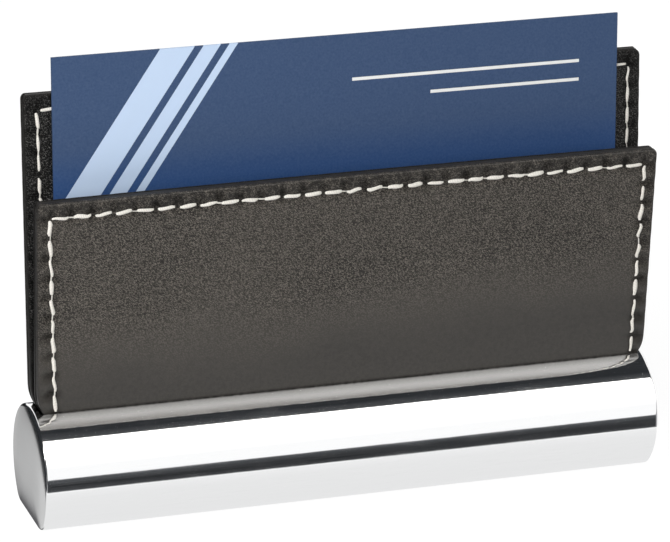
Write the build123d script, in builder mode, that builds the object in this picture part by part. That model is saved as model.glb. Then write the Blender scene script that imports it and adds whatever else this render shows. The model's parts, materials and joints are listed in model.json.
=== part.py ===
"""Desk stand for business cards: two stitched leather panels in a V, set in a plated round bar.

All sizes are in millimetres. X runs along the bar, the front faces -Y and Z is up.
The origin lies on the desk, under the middle of the bar.
"""
import math
import os

from build123d import *

os.makedirs("parts", exist_ok=True)

# Bar: a round bar with a flat ground on its underside
bar_length = 99.0
bar_radius = 10.0
flat_width = 12.8  # where the flat would meet the circle
bar_end_round = 0.4
bar_corner_round = 3.0  # along both edges of the flat

# Foot pad, let into the flat and standing proud of it
pad_end_margin = 3.5
pad_side_margin = 2.2
pad_thickness = 1.0
pad_proud = 0.1
pad_corner = 2.0

# Panels: board between two leathers, cut flush and stitched through
panel_inset = 0.5  # from the ends of the bar
leather_thickness = 0.6
board_thickness = 0.95
lean = 4.3  # degrees from upright, each panel its own way
front_top = 51.8  # height of the front panel's pocket edge above the desk
rear_top = 65.4
top_corner = 1.1
foot_round = 6.5
tongue_depth = 3.2  # how far the panels go down into the bar
mouth_clear = 0.15  # bend line above the edge of the slot

# Stitching
stitch_inset = 2.0  # from the side edges
stitch_top_inset = 2.3
stitch_pitch = 3.3
stitch_length = 2.7
stitch_width = 0.55
stitch_height = 0.18
stitch_foot = 0.4  # lowest needle hole above the bend

# Card, and the strip in the slot that it stands on
card_width = 90.0
card_height = 55.0
card_thickness = 0.4
floor_drop = 0.9  # top of the strip below the edge of the slot
rest_margin = 1.0  # end of the strip to the round of the panel's foot

# Clearances
fit_clear = 0.3  # between curved faces that only meet loosely
stitch_clear = 0.04  # card to the stitches of the rear lining
pocket_slack = 0.18  # card to the front lining at the bend

# Sizes and positions that follow from these
pad_length = bar_length - 2 * pad_end_margin
pad_width = flat_width - 2 * pad_side_margin
panel_width = bar_length - 2 * panel_inset
panel_thickness = 2 * leather_thickness + board_thickness
rest_length = panel_width - 2 * (foot_round + rest_margin)
card_clear = stitch_height + stitch_clear
pocket_half = (card_thickness + card_clear + pocket_slack) / 2
slot_half = pocket_half + panel_thickness
axis_z = pad_proud + math.sqrt(bar_radius**2 - (flat_width / 2) ** 2)
mouth_z = axis_z + math.sqrt(bar_radius**2 - slot_half**2)
bend_z = mouth_z + mouth_clear
foot_z = mouth_z - tongue_depth
floor_z = mouth_z - floor_drop
slope = math.radians(lean)
lean_sin = math.sin(slope)
lean_cos = math.cos(slope)
half_turn = math.tan(slope / 2)


def export_piece(builder, name):
    """Label a finished piece and write its own file."""
    builder.part.label = name
    export_step(builder.part, "parts/" + name + ".step")


def wall_length(top):
    """Length of a leaning wall from the bend to its pocket edge at this height."""
    return (top - bend_z) / lean_cos


def wall_point(side, depth, along):
    """Point (y, z) of a wall: depth is measured from the pocket face, along from the bend."""
    y = pocket_half + depth * lean_cos + along * lean_sin
    z = bend_z - depth * lean_sin + along * lean_cos
    return (side * y, z)


def bend_point(side, depth):
    """Point (y, z) where the upright tongue meets the leaning wall."""
    return (side * (pocket_half + depth), bend_z - depth * half_turn)


def foot_outline(view, width, top, foot, round_radius):
    """Draw a panel's front view in an open sketch: square at the top, well rounded at the foot."""
    with Locations((0, (top + foot) / 2)):
        Rectangle(width, top - foot)
    fillet(view.vertices().group_by(Axis.Y)[0], radius=round_radius)


def panel_sheet(side, inner, outer, top):
    """One layer of a panel, from its pocket side depth to its outside depth."""
    rise = wall_length(top)
    with BuildPart() as sheet:
        with BuildSketch(Plane.YZ):
            with BuildLine():
                Polyline(
                    (side * (pocket_half + inner), foot_z),
                    (side * (pocket_half + outer), foot_z),
                    bend_point(side, outer),
                    wall_point(side, outer, rise),
                    wall_point(side, inner, rise),
                    bend_point(side, inner),
                    close=True,
                )
            make_face()
        extrude(amount=panel_width / 2, both=True)
        with BuildSketch(Plane.XZ) as front_view:
            foot_outline(front_view, panel_width, top, foot_z, foot_round)
            fillet(front_view.vertices().group_by(Axis.Y)[-1], radius=top_corner)
        extrude(amount=2 * bar_radius, both=True, mode=Mode.INTERSECT)
    return sheet


def face_plane(side, depth, outward):
    """Plane on a face of a leaning wall, with its Y up the wall and its Z off the face."""
    y, z = wall_point(side, depth, 0)
    facing = side * outward
    x_dir = (-facing, 0, 0)
    z_dir = (0, facing * lean_cos, -outward * lean_sin)
    return Plane(origin=(0, y, z), x_dir=x_dir, z_dir=z_dir)


def stitch_row(start, end):
    """Stitch centres between two points of a seam line, at an even pitch."""
    dx = end[0] - start[0]
    dy = end[1] - start[1]
    run = math.hypot(dx, dy)
    count = max(1, round(run / stitch_pitch))
    steps = [(i + 0.5) / count for i in range(count)]
    return [(start[0] + dx * s, start[1] + dy * s) for s in steps]


def stitch_shape(turn):
    """One stitch seen from above: a short thread drawn to a point at both ends."""
    half = stitch_length / 2
    body = half - stitch_width / 2
    edge = stitch_width / 2
    points = [(-half, 0), (-body, -edge), (body, -edge), (half, 0), (body, edge), (-body, edge)]
    Polygon(*points, rotation=turn, align=None)


def panel_stitching(side, top):
    """All stitches of one panel, lying on its outer leather and on its lining."""
    high = wall_length(top) - stitch_top_inset
    reach = panel_width / 2 - stitch_inset
    with BuildPart() as seam:
        for depth, outward in ((panel_thickness, 1), (0, -1)):
            with BuildSketch(face_plane(side, depth, outward)):
                with Locations(*stitch_row((-reach, high), (reach, high))):
                    stitch_shape(0)
                for x in (-reach, reach):
                    with Locations(*stitch_row((x, stitch_foot), (x, high))):
                        stitch_shape(90)
            extrude(amount=stitch_height)
    return seam


# Bar with the panel slot on top and the pad recess underneath
with BuildPart() as base_bar:
    with BuildSketch(Plane.YZ) as section:
        with Locations((0, axis_z)):
            Circle(bar_radius)
        with Locations((0, pad_proud - bar_radius)):
            Rectangle(4 * bar_radius, 2 * bar_radius, mode=Mode.SUBTRACT)
        fillet(section.vertices().group_by(Axis.Y)[0], radius=bar_corner_round)
    extrude(amount=bar_length / 2, both=True)
    end_faces = base_bar.faces().filter_by(Axis.X)
    fillet(end_faces.edges(), radius=bar_end_round)
    with BuildSketch(Plane.XZ) as slot_view:
        foot_outline(slot_view, panel_width + 2 * fit_clear, rear_top, foot_z, foot_round + fit_clear)
    extrude(amount=slot_half, both=True, mode=Mode.SUBTRACT)
    with BuildSketch(Plane.XY.offset(pad_proud)):
        RectangleRounded(pad_length + 2 * fit_clear, pad_width + 2 * fit_clear, pad_corner + fit_clear)
    extrude(amount=pad_thickness - pad_proud, mode=Mode.SUBTRACT)
export_piece(base_bar, "base_bar")

# Pad that the bar stands on
with BuildPart() as foot_pad:
    with BuildSketch(Plane.XY):
        RectangleRounded(pad_length, pad_width, pad_corner)
    extrude(amount=pad_thickness)
export_piece(foot_pad, "foot_pad")

# Strip that spreads the two panel feet in the slot and carries the cards
with BuildPart() as card_rest:
    with BuildSketch(Plane.XZ):
        with Locations((0, (floor_z + foot_z) / 2)):
            Rectangle(rest_length, floor_z - foot_z)
    extrude(amount=pocket_half, both=True)
export_piece(card_rest, "card_rest")

# The two panels, three layers and a seam each
board_in = leather_thickness
board_out = leather_thickness + board_thickness
for place, side, top in (("front", -1, front_top), ("rear", 1, rear_top)):
    export_piece(panel_sheet(side, 0, board_in, top), place + "_lining")
    export_piece(panel_sheet(side, board_in, board_out, top), place + "_board")
    export_piece(panel_sheet(side, board_out, panel_thickness, top), place + "_outer_leather")
    export_piece(panel_stitching(side, top), place + "_stitching")

# Card standing on the rest and leaning back beside the rear lining
card_foot = (floor_z - bend_z) / lean_cos
card_y, card_z = wall_point(1, -card_clear, card_foot)
card_back = Plane(origin=(0, card_y, card_z), x_dir=(1, 0, 0), z_dir=(0, -lean_cos, lean_sin))
with BuildPart() as card:
    with BuildSketch(card_back):
        Rectangle(card_width, card_height, align=(Align.CENTER, Align.MIN))
    extrude(amount=card_thickness)
export_piece(card, "card")
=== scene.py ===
"""Dresses the desk stand for business cards and sets it in a plain white studio.

A plated round bar carries two stitched leather panels in a V, and one card stands between them.
All lengths are in metres. X runs along the bar, the front faces -Y and Z is up.
"""
import functools
import json
import math

import bmesh
import bpy
import numpy as np
from bpy.props import FloatProperty, FloatVectorProperty, IntProperty, PointerProperty
from mathutils import Matrix, Vector


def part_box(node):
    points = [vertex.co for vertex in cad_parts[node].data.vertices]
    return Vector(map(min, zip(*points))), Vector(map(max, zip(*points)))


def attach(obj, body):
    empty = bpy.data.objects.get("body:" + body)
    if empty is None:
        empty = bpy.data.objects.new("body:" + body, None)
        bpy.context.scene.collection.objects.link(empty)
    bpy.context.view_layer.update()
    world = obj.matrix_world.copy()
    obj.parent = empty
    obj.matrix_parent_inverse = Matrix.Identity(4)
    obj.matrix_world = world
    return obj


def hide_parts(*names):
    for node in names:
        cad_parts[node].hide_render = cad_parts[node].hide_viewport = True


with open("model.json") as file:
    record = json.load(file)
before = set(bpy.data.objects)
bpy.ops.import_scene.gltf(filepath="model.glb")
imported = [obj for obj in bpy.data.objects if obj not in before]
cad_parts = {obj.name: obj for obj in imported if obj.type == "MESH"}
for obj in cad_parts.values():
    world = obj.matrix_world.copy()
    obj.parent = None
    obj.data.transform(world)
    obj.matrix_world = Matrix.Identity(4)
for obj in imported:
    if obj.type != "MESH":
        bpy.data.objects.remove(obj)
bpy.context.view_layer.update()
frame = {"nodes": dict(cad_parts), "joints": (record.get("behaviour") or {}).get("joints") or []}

bl_info = {
    "name": "Card Stand Dressing",
    "version": (1, 0, 0),
    "blender": (4, 5, 0),
    "location": "View3D > Sidebar > Card Stand",
    "description": "Builds the visible surfaces of a leather and chrome card stand",
    "category": "Object",
}

MM = 0.001
WHITE = (1, 1, 1, 1)

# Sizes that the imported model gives
BAR_LOW, BAR_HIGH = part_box("base_bar")
PAD_LOW, PAD_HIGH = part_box("foot_pad")
CARD_LOW, CARD_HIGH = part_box("card")
LINING_LOW, LINING_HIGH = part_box("front_lining")
BOARD_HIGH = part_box("front_board")[1]
OUTER_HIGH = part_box("front_outer_leather")[1]
BAR_HALF = BAR_HIGH.x
BAR_RADIUS = BAR_HIGH.y
AXIS_Z = BAR_HIGH.z - BAR_RADIUS
FLAT_Z = BAR_LOW.z
PANEL_HALF = LINING_HIGH.x
FOOT_Z = LINING_LOW.z
POCKET_HALF = -LINING_HIGH.y
LEATHER = LINING_HIGH.y - BOARD_HIGH.y
BOARD = BOARD_HIGH.y - OUTER_HIGH.y
PANEL = 2 * LEATHER + BOARD
PANEL_TOP = {"front": LINING_HIGH.z, "rear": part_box("rear_lining")[1].z}
PANEL_SIDE = {"front": -1, "rear": 1}
LIFT_AXIS = frame["joints"][0]["axis"]
LEAN = math.atan2(LIFT_AXIS[1], LIFT_AXIS[2])
LEAN_SIN = math.sin(LEAN)
LEAN_COS = math.cos(LEAN)
MITRE = math.tan(LEAN / 2)

# Sizes shared by the bar's slot and the panels
FOOT_ROUND = 6.5 * MM
TOP_CORNER = 1.1 * MM
PAD_CORNER = 2.0 * MM
FIT_CLEAR = 0.3 * MM
MOUTH_CLEAR = 0.15 * MM
SLOT_HALF = POCKET_HALF + PANEL
MOUTH_Z = AXIS_Z + math.sqrt(BAR_RADIUS**2 - SLOT_HALF**2)
BEND_Z = MOUTH_Z + MOUTH_CLEAR

# The panels, set by hand, stand a little out of true: shear along X and share of spread, at the foot and
# at the top, then tilt to the right, rise and bow of the top edge
SHEAR_FOOT = {"front": 0.36 * MM, "rear": 0.25 * MM}
SHEAR_TOP = {"front": -0.30 * MM, "rear": -0.03 * MM}
SPREAD_FOOT = {"front": 0.0025, "rear": 0.0045}
SPREAD_TOP = {"front": 0.0050, "rear": 0.0030}
TILT_UP = {"front": 0.24 * MM, "rear": -0.06 * MM}
RAISE_TOP = {"front": 0.17 * MM, "rear": 0.20 * MM}
BOW_TOP = {"front": 0.20 * MM, "rear": 0.0}

# For the top, left and right rows: share of needle holes where a thin thread joins two stitches, and how
# dark the painted shade on the strip outside the row is
LINK_SHARE = {"front": (0.45, 0.85, 0.25), "rear": (0.45, 0.25, 0.95)}
MARGIN_SHADE = (1.0, 0.12, 0.40)

# Side seams that wander from true: offset along X at the foot and at the top, left row and right row
SEAM_DRIFT = {"front": ((0.70 * MM, -0.10 * MM), (-0.20 * MM, 0.0)),
              "rear": ((0.50 * MM, 0.0), (0.0, 0.0))}


def metres(name, description, default):
    """Property for a length."""
    return FloatProperty(name=name, description=description, default=default, precision=6, unit="LENGTH",
                         subtype="DISTANCE")


def degrees(name, description, default):
    """Property for an angle, with its default in degrees."""
    return FloatProperty(name=name, description=description, default=math.radians(default), unit="ROTATION",
                         subtype="ANGLE")


def amount(name, description, default, unit="NONE"):
    """Property for a number that isn't negative."""
    return FloatProperty(name=name, description=description, default=default, min=0, unit=unit)


def rgb(name, description, default):
    """Property for a colour."""
    return FloatVectorProperty(name=name, description=description, default=default, size=3, min=0, max=1,
                               subtype="COLOR")


class BarSettings(bpy.types.PropertyGroup):
    """Shape and finish of the plated bar."""

    end_round: metres("End rounding", "Radius along the rim of each end", 0.4 * MM)
    end_dome: metres("End dome", "How far polishing has domed each end face", 0.15 * MM)
    corner_round: metres("Underside rounding", "Radius along both edges of the flat", 3.0 * MM)
    tint: rgb("Plating", "Colour of the chrome", (0.93, 0.935, 0.94))
    polish: FloatProperty(
        name="Roughness", description="Roughness of clean plating", default=0.03, min=0, max=1,
        subtype="FACTOR")


class LeatherSettings(bpy.types.PropertyGroup):
    """Leather of the panels, inside and outside."""

    outer_colour: rgb("Outer leather", "Colour of the outside", (0.098, 0.087, 0.074))
    # The lining's colour is far darker than the outer leather's, partly as painted shade
    lining_shaded_colour: rgb("Lining", "Colour of the pocket side", (0.010, 0.0097, 0.0093))
    board_colour: rgb("Board", "Colour of the painted board edge", (0.012, 0.011, 0.010))
    grain_size: metres("Grain size", "Width of one pebble of the grain", 0.13 * MM)
    grain_depth: metres("Grain depth", "Height of the grain", 0.07 * MM)
    edge_round: metres("Edge rounding", "Burnished round of the cut edges", 0.42 * MM)
    groove: metres("Seam groove", "How deep the thread pulls the leather in", 0.10 * MM)
    dent: metres("Needle dent", "Depth of the dent at each needle hole", 0.24 * MM)
    pucker: metres("Pucker", "Swell of the margin between two holes", 0.10 * MM)


class ThreadSettings(bpy.types.PropertyGroup):
    """Thread and stitch lines."""

    colour: rgb("Thread", "Colour of the waxed thread", (0.92, 0.88, 0.81))
    width: metres("Thread width", "Width of a stitch at its middle", 0.62 * MM)
    proud: metres("Thread height", "How far a stitch stands off the outside", 0.26 * MM)
    proud_inside: metres("Thread height inside", "How far a stitch stands off the lining", 0.17 * MM)
    pitch: metres("Stitch pitch", "Aimed distance between needle holes", 3.3 * MM)
    gap: metres("Stitch gap", "Bare leather between two stitches", 0.68 * MM)
    side_inset: metres("Side inset", "Seam to the side edge", 2.0 * MM)
    top_inset: metres("Top inset", "Seam to the top edge", 2.3 * MM)
    foot: metres("Lowest hole", "Lowest needle hole above the bend", 0.1 * MM)
    slant: metres("Slant", "How far a stitch climbs across its seam line", 0.16 * MM)
    plies: IntProperty(
        name="Ply turns", description="Turns of the ply that show on one stitch", default=5, min=1)
    seed: IntProperty(
        name="Seed", description="Start of the unevenness of hand stitching", default=11, min=0)


class CardSettings(bpy.types.PropertyGroup):
    """Printed card."""

    upper: rgb("Upper blue", "Ink at the top of the card", (0.022, 0.051, 0.126))
    lower: rgb("Lower blue", "Ink further down", (0.007, 0.047, 0.168))
    pale: rgb("Pale blue", "Ink of the slanted bands", (0.52, 0.64, 0.82))
    stock: rgb("Stock", "Bare paper", (0.82, 0.82, 0.80))


class StageSettings(bpy.types.PropertyGroup):
    """Camera, lamps and floor."""

    azimuth: degrees("Azimuth", "Camera round to the left of the front", 19.326)
    elevation: degrees("Elevation", "Camera above the horizon", 20.212)
    roll: degrees("Roll", "Camera turned about its own axis", 1.505)
    distance: metres("Distance", "Camera to the point it looks at", 614.97 * MM)
    look_x: metres("Aim across", "Aimed point along the bar", -1.298 * MM)
    look_z: metres("Aim height", "Aimed point above the desk", 35.07 * MM)
    focal: amount("Focal length", "Lens for a sensor 36 mm wide", 216.67, "CAMERA")
    ambient: amount("Ambient", "Even light from all round", 0.25)
    key_power: amount("Key", "Power of the softbox over the front", 3.1, "POWER")
    fill_power: amount("Fill", "Power of the lamp beside the camera", 0.85, "POWER")
    rear_power: amount("Rear fill", "Power of the lamp behind the stand", 1.2, "POWER")
    floor_colour: rgb("Floor", "Colour of the floor", (0.92, 0.92, 0.92))


class StandSettings(bpy.types.PropertyGroup):
    """Everything that a user would change."""

    bar: PointerProperty(type=BarSettings, name="Bar")
    leather: PointerProperty(type=LeatherSettings, name="Leather")
    thread: PointerProperty(type=ThreadSettings, name="Thread")
    card: PointerProperty(type=CardSettings, name="Card")
    stage: PointerProperty(type=StageSettings, name="Stage")


# Meshes from arrays


def grid_faces(rows, columns, closed=False):
    """Quads of a grid of points, counted row by row; closed joins the last column to the first."""
    across = columns if closed else columns - 1
    i = np.arange(rows - 1)[:, None]
    j = np.arange(across)[None, :]
    k = (j + 1) % columns
    return np.stack([i * columns + j, i * columns + k, (i + 1) * columns + k, (i + 1) * columns + j],
                    axis=-1).reshape(-1, 4)


def facing_out(points, faces):
    """The faces, turned over if the volume that they enclose comes out negative."""
    a, b, c, d = (points[faces[:, n]] for n in range(4))
    volume = (a * np.cross(b, c)).sum() + (a * np.cross(c, d)).sum()
    return faces[:, ::-1] if volume < 0 else faces


def two_skins(shown, hidden):
    """Closed sheet: two grids of the same size, with a rim of quads round their borders."""
    rows, columns = shown.shape[:2]
    count = rows * columns
    index = np.arange(count).reshape(rows, columns)
    loop = np.concatenate([index[0, :-1], index[:-1, -1], index[-1, :0:-1], index[:0:-1, 0]])
    following = np.roll(loop, -1)
    rim = np.stack([following, loop, loop + count, following + count], axis=-1)
    skin = grid_faces(rows, columns)
    points = np.concatenate([shown.reshape(-1, 3), hidden.reshape(-1, 3)])
    faces = np.concatenate([skin, skin[:, ::-1] + count, rim])
    return points, facing_out(points, faces)


def add_piece(name, points, faces, materials, body, nodes, uv=None, marks=None, sharp=40):
    """Make a mesh object that rides on a body and stands for CAD nodes; doubles are merged.

    uv has one pair for each point, and marks names point attributes.
    """
    mesh = bpy.data.meshes.new(name)
    mesh.from_pydata(points.tolist(), [], faces.tolist())
    if uv is not None:
        layer = mesh.uv_layers.new(name="UVMap")
        corner = np.empty(len(mesh.loops), np.int32)
        mesh.loops.foreach_get("vertex_index", corner)
        layer.data.foreach_set("uv", uv[corner].astype(np.float32).ravel())
    for label, values in (marks or {}).items():
        mark = mesh.attributes.new(label, "FLOAT", "POINT")
        mark.data.foreach_set("value", values.astype(np.float32).ravel())
    welded = bmesh.new()
    welded.from_mesh(mesh)
    bmesh.ops.remove_doubles(welded, verts=welded.verts, dist=0.0005 * MM)
    welded.to_mesh(mesh)
    welded.free()
    mesh.shade_smooth()
    mesh.set_sharp_from_angle(angle=math.radians(sharp))
    for material in materials:
        mesh.materials.append(material)
    piece = bpy.data.objects.new(name, mesh)
    bpy.context.scene.collection.objects.link(piece)
    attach(piece, body)
    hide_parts(*nodes)
    return piece


# Shader nodes


class Nodes:
    """Adds nodes to a shader tree; a value is a constant, or an output socket to link from."""

    def __init__(self, tree):
        self.tree = tree

    def join(self, value, socket):
        """Link an output to an input socket, or set the socket's constant."""
        if isinstance(value, bpy.types.NodeSocket):
            self.tree.links.new(value, socket)
        else:
            socket.default_value = value

    def fill(self, node, **sockets):
        """Fill a node's inputs by name, with _ for a space."""
        for key, value in sockets.items():
            self.join(value, node.inputs[key.replace("_", " ")])

    def add(self, kind, options=None, **sockets):
        """New node; options are its own settings, and sockets its inputs by name."""
        node = self.tree.nodes.new(kind)
        for key, value in (options or {}).items():
            setattr(node, key, value)
        self.fill(node, **sockets)
        return node

    def in_order(self, kind, options, values):
        """First output of a new node whose inputs are filled in their order."""
        node = self.add(kind, options)
        for value, socket in zip(values, node.inputs):
            self.join(value, socket)
        return node.outputs[0]

    def math(self, operation, *values, clamp=False):
        """Output of a Math node."""
        return self.in_order("ShaderNodeMath", {"operation": operation, "use_clamp": clamp}, values)

    def times(self, *values):
        """Product of the values."""
        return functools.reduce(lambda a, b: self.math("MULTIPLY", a, b), values)

    def most(self, *values):
        """Largest of the values."""
        return functools.reduce(lambda a, b: self.math("MAXIMUM", a, b), values)

    def line(self, value, slope, offset, clamp=False):
        """Value times a slope, plus an offset."""
        return self.math("MULTIPLY_ADD", value, slope, offset, clamp=clamp)

    def rest(self, value):
        """What the value leaves of 1."""
        return self.math("SUBTRACT", 1.0, value)

    def remap(self, value, low, high, to_low=0.0, to_high=1.0, shape="LINEAR"):
        """Value moved from one range to another, and held inside it."""
        return self.add("ShaderNodeMapRange", {"interpolation_type": shape}, Value=value, From_Min=low,
                        From_Max=high, To_Min=to_low, To_Max=to_high).outputs[0]

    def window(self, *ramps):
        """Product of ramps, each given as a value, where it counts 0 and where it counts 1."""
        return self.times(*(self.remap(*ramp) for ramp in ramps))

    def stripe(self, value, low, high):
        """Mask of the band between two values."""
        return self.times(self.math("GREATER_THAN", value, low), self.math("LESS_THAN", value, high))

    def blend(self, factor, first, second, mode="MIX"):
        """Colour between two, by a factor."""
        node = self.add("ShaderNodeMix", {"data_type": "RGBA", "blend_type": mode})
        self.join(factor, node.inputs[0])
        colours = [s for s in node.inputs if s.type == "RGBA"]
        for value, socket in zip((first, second), colours):
            self.join((*value, 1) if isinstance(value, tuple) else value, socket)
        return next(s for s in node.outputs if s.type == "RGBA")

    def mix(self, factor, first, second):
        """Shader between two, by a factor."""
        return self.in_order("ShaderNodeMixShader", None, (factor, first, second))

    def coordinates(self, kind):
        """Texture coordinates."""
        return self.add("ShaderNodeTexCoord").outputs[kind]

    def split(self, vector):
        """The three parts of a vector."""
        return self.add("ShaderNodeSeparateXYZ", Vector=vector).outputs

    def stretched(self, vector, scale):
        """Vector scaled along its three axes."""
        return self.add("ShaderNodeMapping", {"vector_type": "POINT"}, Vector=vector, Scale=scale).outputs[0]

    def noise(self, vector, scale, detail=2.0, roughness=0.5):
        """Value of a noise texture."""
        return self.add("ShaderNodeTexNoise", Vector=vector, Scale=scale, Detail=detail,
                        Roughness=roughness).outputs[0]

    def mark(self, label):
        """Point attribute of the piece."""
        return self.add("ShaderNodeAttribute", {"attribute_name": label}).outputs["Fac"]

    def bump(self, height, distance):
        """Normal bent by a height that runs from 0 to 1 over a distance."""
        return self.add("ShaderNodeBump", Height=height, Distance=distance, Strength=1.0).outputs[0]

    def group(self, group, **sockets):
        """Outputs of a node that uses a shader node group."""
        return self.add("ShaderNodeGroup", {"node_tree": group}, **sockets).outputs


def tinted(colour, factor):
    """Colour made lighter or darker by a factor."""
    return tuple(min(1.0, c * factor) for c in colour)


def new_group(name, inputs, outputs):
    """Empty shader node group; its sockets are floats, apart from one that is called Vector."""
    group = bpy.data.node_groups.new(name, "ShaderNodeTree")
    for way, labels in (("INPUT", inputs), ("OUTPUT", outputs)):
        for label in labels:
            kind = "NodeSocketVector" if label == "Vector" else "NodeSocketFloat"
            group.interface.new_socket(name=label, in_out=way, socket_type=kind)
    net = Nodes(group)
    return group, net, net.add("NodeGroupInput").outputs, net.add("NodeGroupOutput")


def grain_group():
    """Grain: small cells drawn out on a slant and warped by noise, with creases and slow patches.

    Pressed is 1 where the grain is full and 0 where it has been pressed flat.
    """
    name = "Leather Grain"
    if name in bpy.data.node_groups:
        return bpy.data.node_groups[name]
    group, net, given, out = new_group(
        name, ("Vector", "Cells per Metre", "Pressed"), ("Height", "Tone", "Patches"))
    vector, pressed = given["Vector"], given["Pressed"]
    slanted = net.add("ShaderNodeMapping", {"vector_type": "TEXTURE"}, Vector=vector,
                      Rotation=(0, math.radians(36), 0), Scale=(2.8, 1.0, 1.0)).outputs[0]
    scaled = net.add("ShaderNodeVectorMath", {"operation": "SCALE"}, Vector=slanted,
                     Scale=given["Cells per Metre"]).outputs[0]
    warp = net.add("ShaderNodeTexNoise", Vector=scaled, Scale=0.45, Detail=2.0).outputs[1]
    pushed = net.in_order("ShaderNodeVectorMath", {"operation": "MULTIPLY_ADD"},
                          (warp, (0.5, 0.5, 0.5), scaled))
    cells = net.add("ShaderNodeTexVoronoi", {"feature": "SMOOTH_F1"}, Vector=pushed, Scale=1.0,
                    Smoothness=0.25).outputs["Distance"]
    pebble = net.remap(cells, 0.12, 0.62, 1.0, 0.0)
    creases = net.remap(net.noise(pushed, 1.3, 2.0, 0.6), 0.30, 0.70)
    both = net.remap(net.line(creases, 0.6, net.times(pebble, 0.4)), 0.32, 0.68)
    tone = net.line(net.math("SUBTRACT", both, 0.5), pressed, 0.5, clamp=True)
    net.fill(out, Height=net.times(both, pressed), Tone=tone, Patches=net.noise(vector, 42.0, 3.0, 0.55))
    return group


def handling_group():
    """Marks of handling: long fine wiping streaks along X, and broad cloudy smudges."""
    name = "Handling Marks"
    if name in bpy.data.node_groups:
        return bpy.data.node_groups[name]
    group, net, given, out = new_group(name, ("Vector",), ("Streaks", "Smudges"))
    streaks = net.noise(net.stretched(given["Vector"], (0.06, 1.0, 1.0)), 2600.0, 4.0, 0.65)
    smudges = net.noise(net.stretched(given["Vector"], (0.5, 1.0, 1.0)), 120.0, 4.0, 0.6)
    net.fill(out, Streaks=streaks, Smudges=net.remap(smudges, 0.38, 0.72))
    return group


def new_material(name):
    """Material, the builder of its nodes, its Principled BSDF and the object coordinates."""
    material = bpy.data.materials.new(name)
    material.use_nodes = True
    net = Nodes(material.node_tree)
    return material, net, material.node_tree.nodes["Principled BSDF"], net.coordinates("Object")


def chrome_material(settings):
    """Bright plating with wiping streaks, smudges and a film of dust, duller and brushed on the end faces."""
    material, net, shader, place = new_material("chrome_plating")
    marks = net.group(handling_group(), Vector=place)
    streaks, smudges = marks["Streaks"], marks["Smudges"]
    end = net.mark("end")
    round_part = net.rest(end)
    brushed = net.times(end, net.noise(net.stretched(place, (0.2, 0.05, 1.0)), 2600.0, 3.0, 0.6))
    rough = net.remap(smudges, 0.0, 1.0, settings.polish, settings.polish + 0.05)
    rough = net.line(streaks, 0.03, rough)
    rough = net.line(brushed, 0.02, rough)
    tint = net.blend(streaks, tinted(settings.tint, 0.985), tinted(settings.tint, 1.01))
    tint = net.blend(brushed, tint, tinted(settings.tint, 0.93))
    film = net.remap(net.noise(net.stretched(place, (0.12, 1.0, 1.0)), 1500.0, 4.0, 0.65), 0.52, 0.80)
    film = net.times(film, net.remap(smudges, 0.0, 1.0, 0.6, 1.4), round_part)
    waves = net.times(streaks, round_part)
    net.fill(shader, Metallic=net.line(film, -0.05, 1.0), Base_Color=tint, Roughness=rough,
             Normal=net.bump(waves, 0.0012 * MM))
    return material


def leather_material(name, colour, settings, roughness, finish, tones, hollow=0.0):
    """Grained leather under a thin finish, dark in the pores and on the painted edges, with painted shade in
    the needle holes, along the bend and on the seam margins.

    The grain is pressed flat towards the foot, higher up at the right, and there the colour is much darker:
    partly the smoother pressed leather, partly painted shade towards the foot and the right. finish is the
    weight of the clear coat. tones are the shares of the colour in the hollows and on the ridges of the
    grain, and hollow is how much of the grain counts as hollow. The marks are seam for the needle holes and
    the bend, which get painted shade, margin for the painted shade on the strip outside the seam and edge for
    the cut edges.
    """
    least = 0.16
    material, net, shader, place = new_material(name)
    across, _, height = net.split(place)
    height = net.line(across, -0.05, height)
    height = net.line(net.noise(place, 60.0, 3.0), 10 * MM, height)
    pressed = net.remap(height, 26 * MM, 42 * MM, least, 1.0, "SMOOTHSTEP")
    grain = net.group(grain_group(), Vector=place, Cells_per_Metre=1 / settings.grain_size, Pressed=pressed)
    ridges = net.remap(grain["Tone"], hollow, 1.0)
    tone = net.blend(ridges, *(tinted(colour, share) for share in tones))
    patches = net.remap(grain["Patches"], 0.3, 0.7)
    tone = net.blend(net.times(patches, 0.25), tone, tinted(colour, 1.15))
    mottle = net.remap(net.noise(place, 1500.0, 3.0, 0.65), 0.38, 0.62)
    # Painted shade: the pressed part towards the foot, and higher up at the right, takes a much darker
    # colour, partly for the smoother leather and partly as shade
    smooth_and_shaded = net.blend(mottle, tinted(colour, 0.19), tinted(colour, 0.29))
    tone = net.blend(net.remap(pressed, least, 1.0, 0.93, 0.0), tone, smooth_and_shaded)
    # Painted shade on the margin strip outside each seam row
    margin = net.times(net.mark("margin"), net.remap(mottle, 0.0, 1.0, 0.95, 0.0))
    tone = net.blend(margin, tone, tinted(colour, 0.12))
    # Painted shade in the needle dents and along the bend at the foot
    seam = net.times(net.mark("seam"), net.remap(mottle, 0.0, 1.0, 1.0, 0.70))
    tone = net.blend(seam, tone, tinted(colour, 0.04))
    edge = net.times(net.mark("edge"), net.remap(patches, 0.0, 1.0, 0.9, 0.6))
    tone = net.blend(edge, tone, settings.board_colour[:])
    rough = net.remap(grain["Tone"], 0.0, 1.0, roughness + 0.2, roughness)
    worn = net.remap(net.line(grain["Tone"], -0.5, seam), -0.5, 0.6, 1.0, 0.0)
    coat = net.math("MULTIPLY", worn, net.remap(pressed, least, 1.0, 1.0, finish), clamp=True)
    net.fill(shader, Base_Color=tone, Roughness=net.line(seam, 0.3, rough), Specular_IOR_Level=0.2,
             Coat_Weight=coat, Coat_Roughness=0.30, Normal=net.bump(grain["Height"], settings.grain_depth))
    return material


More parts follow.
